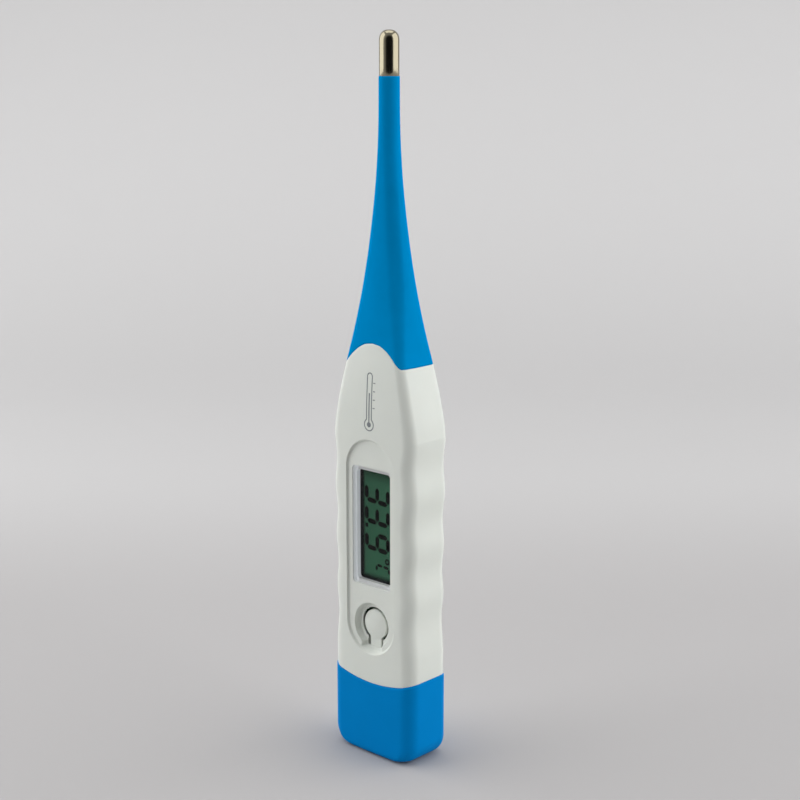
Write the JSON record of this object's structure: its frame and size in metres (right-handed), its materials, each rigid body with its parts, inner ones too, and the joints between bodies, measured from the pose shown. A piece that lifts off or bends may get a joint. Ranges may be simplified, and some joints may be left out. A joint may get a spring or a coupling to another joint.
{
  "type": "digital thermometer",
  "caption": "Pen-shaped digital clinical thermometer with a metal tip on a flexible neck, a side-gripped body with display window and push button, and a pull-off battery cap.",
  "frame": {"origin": "centre of the flat end of the battery cap, on which the instrument stands upright", "axes": "+Z along the instrument towards the probe tip, -Y out of the display face, +X to the right of the display"},
  "size_m": [0.0214, 0.0118, 0.14],
  "materials": {
    "white_abs": "moulded ABS, light satin",
    "blue_cap": "moulded ABS in blue",
    "blue_elastomer": "soft thermoplastic elastomer, satin",
    "steel_tip": "drawn stainless steel, polished",
    "clear_lens": "clear acrylic",
    "lcd_glass": "thin display glass",
    "polariser": "grey-green polarising film",
    "lcd_reflector": "grey-green reflective film",
    "lcd_ink": "liquid crystal segments, on",
    "button_white": "moulded ABS, finely textured",
    "black_rubber": "conductive and sealing rubber",
    "fr4": "glass-epoxy board with solder mask",
    "epoxy": "black epoxy",
    "smd": "surface-mount parts",
    "black_plastic": "black switch plastic",
    "brass": "brass sheet",
    "piezo": "piezo ceramic",
    "copper_wire": "enamelled copper wire",
    "carrier_plastic": "natural moulded plastic",
    "nickel": "nickel-plated steel",
    "potting": "thermally conductive potting"
  },
  "bodies": {
    "body": {"housing": "white_abs", "cap_seal_ring": "black_rubber", "lens": "clear_lens", "lcd_front_polariser": "polariser", "lcd_front_glass": "lcd_glass", "lcd_rear_glass": "lcd_glass", "lcd_reflector": "lcd_reflector", "lcd_segments": "lcd_ink", "zebra_connector": "black_rubber", "circuit_board": "fr4", "chip_epoxy_blob": "epoxy", "smd_components": "smd", "switch_body": "black_plastic", "buzzer_disc": "brass", "buzzer_element": "piezo", "buzzer_leads": "copper_wire", "carrier_frame": "carrier_plastic", "button_cell": "nickel", "contact_negative": "nickel", "contact_positive": "nickel", "neck_base": "blue_elastomer", "thermistor_leads": "copper_wire"},
    "cap": {"battery_cap": "blue_cap"},
    "button": {"button": "button_white"},
    "plunger": {"switch_plunger": "black_plastic"},
    "neck_mid": {"neck_middle": "blue_elastomer"},
    "probe": {"neck_end": "blue_elastomer", "probe_tip_cap": "steel_tip", "tip_potting": "potting", "thermistor_bead": "epoxy"}
  },
  "joints": [
    {"name": "cap_slide", "type": "slide", "parent": "body", "child": "cap", "axis": [0, 0, -1], "range_m": [0, 0.022]},
    {"name": "button_press", "type": "hinge", "parent": "body", "child": "button", "pos_m": [0, -0.00372, 0.02162], "axis": [-1, 0, 0], "range_deg": [0, 4], "stiffness_Nm_per_rad": 0.02},
    {"name": "switch_travel", "type": "slide", "parent": "body", "child": "plunger", "axis": [0, 1, 0], "range_m": [0, 0.0004]},
    {"name": "neck_flex_lower", "type": "hinge", "parent": "body", "child": "neck_mid", "pos_m": [0, 0, 0.1], "axis": [1, 0, 0], "range_deg": [-22.5, 22.5], "stiffness_Nm_per_rad": 0.05},
    {"name": "neck_flex_upper", "type": "hinge", "parent": "neck_mid", "child": "probe", "pos_m": [0, 0, 0.1155], "axis": [1, 0, 0], "range_deg": [-22.5, 22.5], "stiffness_Nm_per_rad": 0.05, "deforming": ["thermistor_leads"]}
  ],
  "couplings": [
    {"joint": "switch_travel", "follows": "button_press", "m_per_rad": 0.00518},
    {"joint": "neck_flex_upper", "follows": "neck_flex_lower", "ratio": 1}
  ]
}
